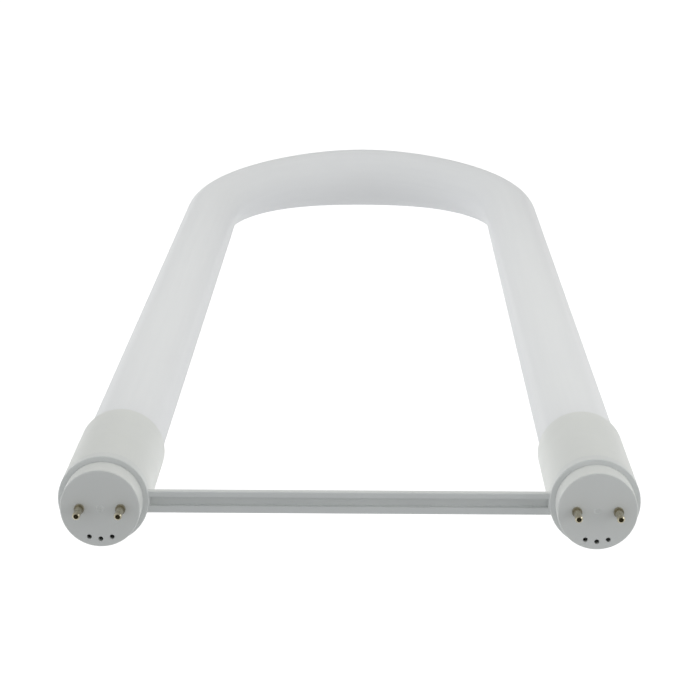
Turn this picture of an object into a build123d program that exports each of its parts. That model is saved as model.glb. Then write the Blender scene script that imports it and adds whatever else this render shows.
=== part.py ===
"""U-bend LED tube: an opal glass U, a moulded two-pin cap on each end and a spacer bar between the caps.

The lamp lies flat. X runs across the legs, Y runs from the pins to the crown of the bend and Z is up.
The origin is on the resting surface, under the middle of the lamp's box. Sizes are in millimetres.
"""
import os
from math import atan2, cos, radians, sin

from build123d import *

os.makedirs("parts", exist_ok=True)

# Whole lamp
lamp_length = 570.0        # cap faces to the outside of the bend
leg_spacing = 152.4        # between the axes of the legs

# Glass tube
tube_diameter = 25.4
bend_depth = 110.0         # reach of the bend's centre line past the straight legs
crown_height = 31.0        # height of the oval section at the crown of the bend
swell_power = 2            # how late along the bend the section grows tall
bend_bands = 24            # bands that the bend is lofted in, with the same turn in each

# End caps
tube_clearance = 0.15      # around the glass in the sleeve, filled by adhesive
sleeve_wall = 1.3
cap_length = 59.0          # face to rear rim
nose_length = 8.3          # part of the nose that stands in front of the spacer's ring
shoulder_step = 1.8        # sleeve radius less nose radius
shoulder_web = 1.8         # thickness of the wall that the tube's end stops against
nose_wall = 1.2
face_wall = 1.4
nose_chamfer = 0.25
vent_count = 3
vent_diameter = 1.55
vent_circle_radius = 9.8
vent_angle = 21.0          # between neighbouring vents
gate_diameter = 2.4        # moulding gate's shallow dimple in the middle of the face
gate_depth = 0.25
gate_taper = 60.0          # degrees
boss_diameter = 5.0        # pin bosses behind the face
boss_height = 2.0

# Contact pins
pin_spacing = 12.7
pin_diameter = 2.35
pin_length = 7.5           # from the cap's face to the tip
pin_tip_chamfer = 0.4
pin_bore_diameter = 1.45   # the pins are tubular
pin_bore_depth = 5.0
collar_diameter = 3.1
collar_length = 1.1
shank_clearance = 0.05
rivet_diameter = 3.4
rivet_length = 0.8

# Spacer bar
ring_thickness = 4.0
ring_clearance = 0.01      # around the nose
ring_chamfer = 0.25
bar_height = 7.2
bar_thickness = 2.4
bar_setback = 0.5          # front of the bar behind the fronts of the rings
bar_drop = 0.85            # middle of the bar below the axis of the caps
bar_round = 0.6
upper_flange = 1.85
lower_flange = 2.35
channel_depth = 1.8
end_web = 0.25             # wall between the channel's end and the ring

# Sizes that follow
leg_x = leg_spacing / 2
tube_radius = tube_diameter / 2
sleeve_bore_radius = tube_radius + tube_clearance
cap_radius = sleeve_bore_radius + sleeve_wall
nose_radius = cap_radius - shoulder_step
nose_bore_radius = nose_radius - nose_wall
vent_spread = (vent_count - 1) * vent_angle
first_vent = -90 - vent_spread / 2
axis_z = max(crown_height / 2, cap_radius)
face_y = (pin_length - lamp_length) / 2
ring_y = face_y + nose_length
shoulder_y = ring_y + ring_thickness
tube_end_y = shoulder_y + shoulder_web
crown_y = face_y + lamp_length
bend_y = crown_y - tube_radius - bend_depth

sides = {"left": -1, "right": 1}


def lengthwise_plane(x):
    """Horizontal plane through an axis along Y: x is the radius and y the way back from the face."""
    return Plane((x, face_y, axis_z), x_dir=(1, 0, 0), z_dir=(0, 0, 1))


def upright_plane(x, y):
    """Plane across the legs, seen from the pins: x is to the right, y is up and z points forward."""
    return Plane((x, y, axis_z), x_dir=(1, 0, 0), z_dir=(0, -1, 0))


def bend_plane(turn):
    """Plane across the bend's half-elliptic centre line where the tube has turned this far; its x is up."""
    along = atan2(bend_depth * sin(turn), leg_x * cos(turn))
    origin = (-leg_x * cos(along), bend_y + bend_depth * sin(along), axis_z)
    return Plane(origin, x_dir=(0, 0, 1), z_dir=(sin(turn), cos(turn), 0))


def half_height(turn):
    """Half the height of the glass section: round at the legs, an upright oval at the crown."""
    return tube_radius + (crown_height / 2 - tube_radius) * sin(turn) ** swell_power


# Glass tube: straight legs, then the bend lofted from round to oval and back
with BuildPart() as glass_tube:
    for step in range(bend_bands + 1):
        turn = radians(180 * step / bend_bands)
        with BuildSketch(bend_plane(turn)):
            Ellipse(half_height(turn), tube_radius)
    loft(ruled=True)
    with BuildSketch(upright_plane(0, tube_end_y)):
        with Locations((-leg_x, 0), (leg_x, 0)):
            Circle(tube_radius)
    extrude(amount=tube_end_y - bend_y)
glass_tube.part.label = "glass_tube"
export_step(glass_tube.part, "parts/glass_tube.step")

# End caps: a sleeve over the glass and a narrower closed nose that carries the pins
for name, side in sides.items():
    with BuildPart() as end_cap:
        with BuildSketch(lengthwise_plane(side * leg_x)) as section:
            with BuildLine():
                Polyline(
                    (0, 0),
                    (nose_radius, 0),
                    (nose_radius, shoulder_y - face_y),
                    (cap_radius, shoulder_y - face_y),
                    (cap_radius, cap_length),
                    (sleeve_bore_radius, cap_length),
                    (sleeve_bore_radius, tube_end_y - face_y),
                    (nose_bore_radius, tube_end_y - face_y),
                    (nose_bore_radius, face_wall),
                    (0, face_wall),
                    close=True,
                )
            make_face()
            nose_edge = section.vertices().group_by(Axis.Y)[0].sort_by(Axis.X)[-1]
            chamfer(nose_edge, length=nose_chamfer)
        revolve(axis=Axis((side * leg_x, 0, axis_z), (0, 1, 0)))
        with BuildSketch(upright_plane(side * leg_x, face_y + face_wall)):
            with GridLocations(pin_spacing, 0, 2, 1):
                Circle(boss_diameter / 2)
        extrude(amount=-boss_height)
        with BuildSketch(upright_plane(side * leg_x, face_y)):
            with GridLocations(pin_spacing, 0, 2, 1):
                Circle(pin_diameter / 2 + shank_clearance)
        extrude(amount=-face_wall - boss_height, mode=Mode.SUBTRACT)
        with BuildSketch(upright_plane(side * leg_x, face_y)):
            with PolarLocations(vent_circle_radius, vent_count, first_vent, vent_spread, endpoint=True):
                Circle(vent_diameter / 2)
        extrude(amount=-face_wall, mode=Mode.SUBTRACT)
        with BuildSketch(upright_plane(side * leg_x, face_y)):
            Circle(gate_diameter / 2)
        extrude(amount=-gate_depth, taper=gate_taper, mode=Mode.SUBTRACT)
    end_cap.part.label = f"end_cap_{name}"
    export_step(end_cap.part, f"parts/end_cap_{name}.step")

# Contact pins: tubular, with a collar on the cap's face and a riveted end behind the boss
seat = face_wall + boss_height
for name, side in sides.items():
    for place, offset in (("outer", side), ("inner", -side)):
        pin_x = side * leg_x + offset * pin_spacing / 2
        with BuildPart() as contact_pin:
            with BuildSketch(lengthwise_plane(pin_x)) as section:
                with BuildLine():
                    Polyline(
                        (0, pin_bore_depth - pin_length),
                        (pin_bore_diameter / 2, pin_bore_depth - pin_length),
                        (pin_bore_diameter / 2, -pin_length),
                        (pin_diameter / 2, -pin_length),
                        (pin_diameter / 2, -collar_length),
                        (collar_diameter / 2, -collar_length),
                        (collar_diameter / 2, 0),
                        (pin_diameter / 2, 0),
                        (pin_diameter / 2, seat),
                        (rivet_diameter / 2, seat),
                        (rivet_diameter / 2, seat + rivet_length),
                        (0, seat + rivet_length),
                        close=True,
                    )
                make_face()
                tip = section.vertices().group_by(Axis.Y)[0].sort_by(Axis.X)[-1]
                chamfer(tip, length=pin_tip_chamfer)
            revolve(axis=Axis((pin_x, 0, axis_z), (0, 1, 0)))
        contact_pin.part.label = f"contact_pin_{name}_{place}"
        export_step(contact_pin.part, f"parts/contact_pin_{name}_{place}.step")

# Spacer bar: a ring on each nose against the sleeve's shoulder, and a channelled bar between the rings
ring_bore_radius = nose_radius + ring_clearance
ring_middle_radius = (ring_bore_radius + cap_radius) / 2
bar_length = leg_spacing - 2 * ring_middle_radius
channel_length = leg_spacing - 2 * (cap_radius + end_web)
channel_height = bar_height - upper_flange - lower_flange
channel_z = (lower_flange - upper_flange) / 2 - bar_drop
bar_y = ring_y + bar_setback
with BuildPart() as spacer_bar:
    with BuildSketch(upright_plane(0, ring_y)):
        with Locations((-leg_x, 0), (leg_x, 0)):
            Circle(cap_radius)
            Circle(ring_bore_radius, mode=Mode.SUBTRACT)
    extrude(amount=-ring_thickness)
    front_edges = spacer_bar.edges().group_by(Axis.Y)[0]
    chamfer(front_edges.group_by(SortBy.LENGTH)[-1], length=ring_chamfer)
    bar_middle = (0, bar_y + bar_thickness / 2, axis_z - bar_drop)
    with BuildSketch(Plane(bar_middle, x_dir=(0, 1, 0), z_dir=(1, 0, 0))):
        RectangleRounded(bar_thickness, bar_height, bar_round)
    extrude(amount=bar_length / 2, both=True)
    with BuildSketch(upright_plane(0, bar_y)):
        with Locations((0, channel_z)):
            Rectangle(channel_length, channel_height)
    extrude(amount=-channel_depth, mode=Mode.SUBTRACT)
spacer_bar.part.label = "spacer_bar"
export_step(spacer_bar.part, "parts/spacer_bar.step")
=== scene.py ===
"""Looks of the U-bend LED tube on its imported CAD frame: metres, +Z up, pins towards -Y."""
from math import atan2, cos, pi, sin

import bmesh
import bpy
from mathutils import Matrix, Vector


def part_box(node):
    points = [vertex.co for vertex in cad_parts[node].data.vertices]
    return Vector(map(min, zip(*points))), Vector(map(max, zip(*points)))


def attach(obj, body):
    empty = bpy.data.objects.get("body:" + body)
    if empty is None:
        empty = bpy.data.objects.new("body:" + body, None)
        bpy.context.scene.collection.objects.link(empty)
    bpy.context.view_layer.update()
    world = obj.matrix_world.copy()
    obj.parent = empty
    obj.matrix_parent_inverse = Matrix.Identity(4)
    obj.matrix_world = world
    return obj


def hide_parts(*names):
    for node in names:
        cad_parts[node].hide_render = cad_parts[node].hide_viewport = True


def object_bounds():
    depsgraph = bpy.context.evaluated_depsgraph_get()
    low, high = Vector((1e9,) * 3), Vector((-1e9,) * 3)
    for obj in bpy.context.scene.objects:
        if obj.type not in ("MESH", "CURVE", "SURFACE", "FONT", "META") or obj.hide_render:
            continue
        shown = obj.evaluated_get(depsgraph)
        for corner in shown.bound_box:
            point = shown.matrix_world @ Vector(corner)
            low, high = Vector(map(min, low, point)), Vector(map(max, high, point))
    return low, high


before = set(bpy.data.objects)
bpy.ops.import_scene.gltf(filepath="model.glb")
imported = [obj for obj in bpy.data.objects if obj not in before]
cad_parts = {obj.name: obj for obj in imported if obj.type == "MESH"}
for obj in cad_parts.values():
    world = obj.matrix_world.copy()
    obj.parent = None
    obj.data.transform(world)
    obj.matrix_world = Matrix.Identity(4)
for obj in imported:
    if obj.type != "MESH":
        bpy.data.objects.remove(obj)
cad_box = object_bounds()
scene = bpy.context.scene

# Photograph's camera, fitted to the outlines of the caps and the tube
CAMERA_PLACE = Vector((0.0086, -0.8974, 0.2330))
CAMERA_PITCH = 0.26424     # downwards, in radians
CAMERA_YAW = -0.01332      # towards +X
CAMERA_ROLL = 0.00162
FOCAL_PIXELS = 2129.4
IMAGE_PIXELS = 700
SENSOR_MM = 36.0

# Glass tube, where its box doesn't give the size
BEND_DEPTH = 0.110         # reach of the bend's centre line past the legs
SWELL_POWER = 2            # how late along the bend the section grows tall
BEND_RINGS = 120
LEG_RINGS = 24
RING_POINTS = 96

# Colours, each as the two ends of its changes over the surface
GLASS_COLOURS = ((0.874, 0.884, 0.899), (0.884, 0.896, 0.902))
STREAK_TINTS = ((0.984, 0.984, 0.986), (1, 1, 1))
CAP_COLOURS = ((0.784, 0.798, 0.774), (0.802, 0.816, 0.792))
SPACER_COLOURS = ((0.757, 0.773, 0.759), (0.780, 0.797, 0.782))
BRASS_COLOURS = ((0.33, 0.30, 0.21), (0.65, 0.60, 0.46))
WHITE = (1, 1, 1, 1)

# Scales of the surfaces' detail, by the metre
GLASS_CLOUDS = 14
GLASS_STREAKS = (420, 9, 1)         # around the tube, then along it
PLASTIC_CLOUDS = 60
PLASTIC_FLOW = 220
CAP_GRAIN = 5200
SPACER_GRAIN = 4600
BRASS_STAINS = 900
BRASS_RINGS = (300, 9000, 300)      # close together along the pins
NOISE_LOW = 0.3                     # most of a noise's values lie between these two
NOISE_HIGH = 0.7

# Studio
FLOOR_HALF = 12.0
FLOOR_GLOW = 0.88
FLOOR_COLOUR = (0.40, 0.40, 0.40, 1)
BACKDROP = 1.0             # white that the camera sees beyond the table
TENT = {"front": 0.41, "back": 0.59, "left": 0.43}       # light from above
TABLE = {"front": 0.26, "back": 1.35, "left": 0.40}      # light from below
HORIZON = 0.02             # half the height of the band where the two meet
FRONT_TINT = (0.945, 0.968, 1.0, 1)
BACK_TINT = (1.0, 1.0, 0.985, 1)
BETWEEN_LEGS = Vector((0.0, -0.05, 0.01))
INSIDE_BEND = Vector((0.0, 0.22, 0.01))
LAMPS = {                  # place, aim, side, watts and colour
    "low_left": ((-0.50, -1.05, 0.06), BETWEEN_LEGS, 0.08, 0.08, (0.88, 0.90, 1.0)),
    "low_right": ((0.78, -0.90, 0.06), BETWEEN_LEGS, 0.06, 0.05, (1.0, 1.0, 1.0)),
    "near_right": ((0.42, -0.50, 0.15), BETWEEN_LEGS, 0.30, 0.26, (1.0, 1.0, 1.0)),
    "far_right": ((0.80, -0.30, 0.30), BETWEEN_LEGS, 0.40, 0.70, (1.0, 1.0, 1.0)),
    "above": ((0.0, -0.10, 0.50), INSIDE_BEND, 0.40, 0.62, (1.0, 0.995, 0.92)),
}


def node(tree, kind, inputs=None, **settings):
    """A new shader node with these properties, and with constants or other nodes' outputs on its inputs."""
    made = tree.nodes.new(kind)
    for name, value in settings.items():
        setattr(made, name, value)
    for name, value in (inputs or {}).items():
        if isinstance(value, bpy.types.NodeSocket):
            tree.links.new(value, made.inputs[name])
        else:
            made.inputs[name].default_value = value
    return made


def object_place(tree):
    """Coordinates on the object, in metres."""
    return node(tree, "ShaderNodeTexCoord").outputs["Object"]


def stretched(tree, vector, scale):
    """Coordinates with a scale of their own along each axis."""
    return node(tree, "ShaderNodeMapping", {"Vector": vector, "Scale": scale}).outputs["Vector"]


def noise(tree, vector, scale=1.0, detail=2.0, roughness=0.5):
    """Noise from 0 to 1 in these coordinates."""
    inputs = {"Vector": vector, "Scale": scale, "Detail": detail, "Roughness": roughness}
    return node(tree, "ShaderNodeTexNoise", inputs).outputs["Fac"]


def remap(tree, value, start, end, low, high):
    """A value taken from the range between start and end to the one between low and high, and held there."""
    inputs = {"Value": value, "From Min": start, "From Max": end, "To Min": low, "To Max": high}
    return node(tree, "ShaderNodeMapRange", inputs).outputs["Result"]


def calculate(tree, operation, *values):
    """The result of one arithmetic step."""
    return node(tree, "ShaderNodeMath", dict(enumerate(values)), operation=operation).outputs["Value"]


def mix(tree, kind, share, first, second, way="MIX"):
    """A number or a colour made from two."""
    inputs = {"Factor": share, "A": first, "B": second}
    return node(tree, "ShaderNodeMix", inputs, data_type=kind, blend_type=way).outputs["Result"]


def spread(tree, value, first, second):
    """A number from first to second as a noise value goes up."""
    return remap(tree, value, NOISE_LOW, NOISE_HIGH, first, second)


def tint(tree, value, first, second):
    """A colour from first to second as a noise value goes up."""
    ramp = node(tree, "ShaderNodeValToRGB", {"Fac": value})
    ends = zip(ramp.color_ramp.elements, (NOISE_LOW, NOISE_HIGH), (first, second))
    for end, position, colour in ends:
        end.position = position
        end.color = (*colour, 1)
    return ramp.outputs["Color"]


def bump(tree, value, height, strength):
    """A bumped normal: its height in metres where the value is 1, and how much of it shows."""
    inputs = {"Height": value, "Distance": height, "Strength": strength}
    return node(tree, "ShaderNodeBump", inputs).outputs["Normal"]


def material(name, **constants):
    """A new material with constants on its shader's own sockets."""
    made = bpy.data.materials.new(name)
    made.use_nodes = True
    shader = made.node_tree.nodes["Principled BSDF"]
    for socket, value in constants.items():
        shader.inputs[socket.replace("_", " ")].default_value = value
    return made


def connect(tree, **outputs):
    """Puts other nodes' outputs on the sockets of a material's shader."""
    shader = tree.nodes["Principled BSDF"]
    for socket, output in outputs.items():
        tree.links.new(output, shader.inputs[socket.replace("_", " ")])


def opal_glass():
    """Coated glass: cloudy white under a clear surface, with the faint streaks of drawn glass along it."""
    look = material(
        "opal_glass_look",
        Coat_Weight=0.12,
        Coat_Roughness=0.05,
        Coat_IOR=1.5,
        Specular_IOR_Level=0.0,
        Subsurface_Weight=0.3,
        Subsurface_Radius=(0.25, 0.25, 0.25),
        Subsurface_Scale=1.0,
    )
    tree = look.node_tree
    wrap = node(tree, "ShaderNodeUVMap", uv_map="wrap").outputs["UV"]
    cloud = noise(tree, object_place(tree), scale=GLASS_CLOUDS, detail=3.0)
    streak = noise(tree, stretched(tree, wrap, GLASS_STREAKS))
    body = tint(tree, cloud, *GLASS_COLOURS)
    faint = tint(tree, streak, *STREAK_TINTS)
    connect(
        tree,
        Base_Color=mix(tree, "RGBA", 1, body, faint, way="MULTIPLY"),
        Roughness=spread(tree, cloud, 0.30, 0.42),
        Normal=bump(tree, streak, height=0.00004, strength=0.5),
    )
    return look


def moulded_plastic(name, colours, grain_scale):
    """White satin plastic from a spark-eroded mould: fine grain, slow changes of tone and of gloss."""
    look = material(
        name,
        Specular_IOR_Level=0.4,
        Subsurface_Weight=0.08,
        Subsurface_Radius=(0.0015, 0.0015, 0.0014),
        Subsurface_Scale=1.0,
    )
    tree = look.node_tree
    place = object_place(tree)
    cloud = noise(tree, place, scale=PLASTIC_CLOUDS, detail=3.0)
    grain = noise(tree, place, scale=grain_scale, detail=3.0, roughness=0.6)
    flow = noise(tree, place, scale=PLASTIC_FLOW)
    connect(
        tree,
        Base_Color=tint(tree, cloud, *colours),
        Roughness=spread(tree, flow, 0.42, 0.54),
        Normal=bump(tree, grain, height=0.00003, strength=0.2),
    )
    return look


def pin_brass():
    """Turned brass, dulled and a little stained, with fine tool rings along it."""
    look = material("pin_brass_look", Metallic=1.0)
    tree = look.node_tree
    place = object_place(tree)
    stain = noise(tree, place, scale=BRASS_STAINS, detail=4.0, roughness=0.6)
    turned = noise(tree, stretched(tree, place, BRASS_RINGS), detail=1.0)
    connect(
        tree,
        Base_Color=tint(tree, stain, *BRASS_COLOURS),
        Roughness=spread(tree, stain, 0.32, 0.20),
        Normal=bump(tree, turned, height=0.00002, strength=0.5),
    )
    return look


def glass_sections():
    """Each ring of the glass: its centre, sideways direction, half width, half height and way along."""
    low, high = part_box("glass_tube")
    cap_low, cap_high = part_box("end_cap_right")
    axis = (cap_low + cap_high) / 2
    radius = high.x - axis.x
    swell = (high.z - axis.z) - radius
    bend_y = high.y - radius - BEND_DEPTH
    places = [(-axis.x, low.y + (bend_y - low.y) * i / LEG_RINGS, 0.0) for i in range(LEG_RINGS)]
    for i in range(BEND_RINGS + 1):
        turn = pi * i / BEND_RINGS
        along = atan2(BEND_DEPTH * sin(turn), axis.x * cos(turn))
        places.append((-axis.x * cos(along), bend_y + BEND_DEPTH * sin(along), turn))
    places += [(axis.x, bend_y + (low.y - bend_y) * (i + 1) / LEG_RINGS, pi) for i in range(LEG_RINGS)]
    distance = 0.0
    previous = Vector((-axis.x, low.y, axis.z))
    for x, y, turn in places:
        centre = Vector((x, y, axis.z))
        distance += (centre - previous).length
        previous = centre
        sideways = Vector((cos(turn), -sin(turn), 0))
        half_height = radius + swell * sin(turn) ** SWELL_POWER
        yield centre, sideways, radius, half_height, distance


def glass_tube():
    """The glass with a smooth bend, wrapped with coordinates in metres around and along it."""
    made = bmesh.new()
    wrap = made.loops.layers.uv.new("wrap")
    angles = [2 * pi * k / RING_POINTS for k in range(RING_POINTS)]
    rings = []
    for centre, sideways, half_width, half_height, distance in glass_sections():
        ring = []
        for angle in angles:
            upwards = Vector((0, 0, half_height * sin(angle)))
            ring.append(made.verts.new(centre + sideways * half_width * cos(angle) + upwards))
        rings.append((ring, half_width, distance))
    for (ring, width, start), (after, _, end) in zip(rings, rings[1:]):
        for k in range(RING_POINTS):
            beside = (k + 1) % RING_POINTS
            face = made.faces.new((ring[k], ring[beside], after[beside], after[k]))
            face.smooth = True
            left = 2 * pi * width * k / RING_POINTS
            right = 2 * pi * width * (k + 1) / RING_POINTS
            corners = ((left, start), (right, start), (right, end), (left, end))
            for loop, corner in zip(face.loops, corners):
                loop[wrap].uv = corner
    made.faces.new(rings[0][0])
    made.faces.new(rings[-1][0])
    bmesh.ops.recalc_face_normals(made, faces=made.faces)
    mesh = bpy.data.meshes.new("opal_glass_tube")
    made.to_mesh(mesh)
    made.free()
    tube = bpy.data.objects.new("opal_glass_tube", mesh)
    scene.collection.objects.link(tube)
    return tube


def dress(target, look):
    """Gives an object one material all over."""
    target.data.materials.clear()
    target.data.materials.append(look)


def pale_floor():
    """A wide white table that glows. The lower half of the tent stands for its light on the object."""
    mesh = bpy.data.meshes.new("floor")
    ends = (-FLOOR_HALF, FLOOR_HALF)
    corners = [(x, y, 0) for x in ends for y in ends]
    mesh.from_pydata(corners, [], [(0, 2, 3, 1)])
    floor = bpy.data.objects.new("floor", mesh)
    floor.location.z = cad_box[0].z
    floor.visible_diffuse = False
    floor.visible_glossy = False
    scene.collection.objects.link(floor)
    look = material(
        "light_table",
        Base_Color=FLOOR_COLOUR,
        Roughness=0.9,
        Specular_IOR_Level=0.0,
        Emission_Color=WHITE,
        Emission_Strength=FLOOR_GLOW,
    )
    dress(floor, look)


def dome(tree, direction, front, back, left):
    """Light of one half of the tent: from its front to its back, and more towards its left side."""
    light = remap(tree, direction["Y"], -1, 1, front, back)
    leftwards = remap(tree, direction["X"], 0, -1, 0, 1)
    squared = calculate(tree, "MULTIPLY", leftwards, leftwards)
    return calculate(tree, "MULTIPLY_ADD", squared, left, light)


def white_tent():
    """Soft light from all round, by direction, in front of a plain white backdrop."""
    world = bpy.data.worlds.new("white_tent")
    world.use_nodes = True
    scene.world = world
    tree = world.node_tree
    outwards = node(tree, "ShaderNodeTexCoord").outputs["Generated"]
    direction = node(tree, "ShaderNodeSeparateXYZ", {"Vector": outwards}).outputs
    is_above = remap(tree, direction["Z"], -HORIZON, HORIZON, 0, 1)
    is_behind = remap(tree, direction["Y"], -1, 1, 0, 1)
    light = mix(tree, "FLOAT", is_above, dome(tree, direction, **TABLE), dome(tree, direction, **TENT))
    colour = mix(tree, "RGBA", is_behind, FRONT_TINT, BACK_TINT)
    backdrop = tree.nodes["Background"]
    backdrop.inputs["Color"].default_value = WHITE
    backdrop.inputs["Strength"].default_value = BACKDROP
    tent = node(tree, "ShaderNodeBackground", {"Color": colour, "Strength": light})
    is_seen = node(tree, "ShaderNodeLightPath").outputs["Is Camera Ray"]
    inputs = {0: is_seen, 1: tent.outputs["Background"], 2: backdrop.outputs["Background"]}
    shown = node(tree, "ShaderNodeMixShader", inputs).outputs["Shader"]
    tree.links.new(shown, tree.nodes["World Output"].inputs["Surface"])


def soft_lamps():
    """Square soft lamps that the camera doesn't see: two low in front, two to the right and one above."""
    for name, (place, aim, side, watts, colour) in LAMPS.items():
        data = bpy.data.lights.new(name, "AREA")
        data.size = side
        data.energy = watts
        data.color = colour
        lamp = bpy.data.objects.new(name, data)
        lamp.location = place
        lamp.rotation_euler = (aim - Vector(place)).to_track_quat("-Z", "Y").to_euler()
        lamp.visible_camera = False
        scene.collection.objects.link(lamp)


def photo_camera():
    """The photograph's camera, with its focal length as the image's pixels give it."""
    data = bpy.data.cameras.new("photo_camera")
    data.sensor_width = SENSOR_MM
    data.lens = FOCAL_PIXELS * SENSOR_MM / IMAGE_PIXELS
    camera = bpy.data.objects.new("photo_camera", data)
    turned = Matrix.Rotation(-CAMERA_YAW, 4, "Z") @ Matrix.Rotation(pi / 2 - CAMERA_PITCH, 4, "X")
    camera.matrix_world = Matrix.Translation(CAMERA_PLACE) @ turned @ Matrix.Rotation(CAMERA_ROLL, 4, "Z")
    scene.collection.objects.link(camera)
    scene.camera = camera


# Glass: a finer mesh of the node's own form
tube = glass_tube()
dress(tube, opal_glass())
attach(tube, "root")
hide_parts("glass_tube")

# Looks of the other nodes, by how their names start
looks = {
    "end_cap": moulded_plastic("cap_plastic_look", CAP_COLOURS, CAP_GRAIN),
    "spacer_bar": moulded_plastic("spacer_plastic_look", SPACER_COLOURS, SPACER_GRAIN),
    "contact_pin": pin_brass(),
}
for name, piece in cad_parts.items():
    for start, look in looks.items():
        if name.startswith(start):
            dress(piece, look)

pale_floor()
white_tent()
soft_lamps()
photo_camera()
scene.view_settings.view_transform = "Standard"
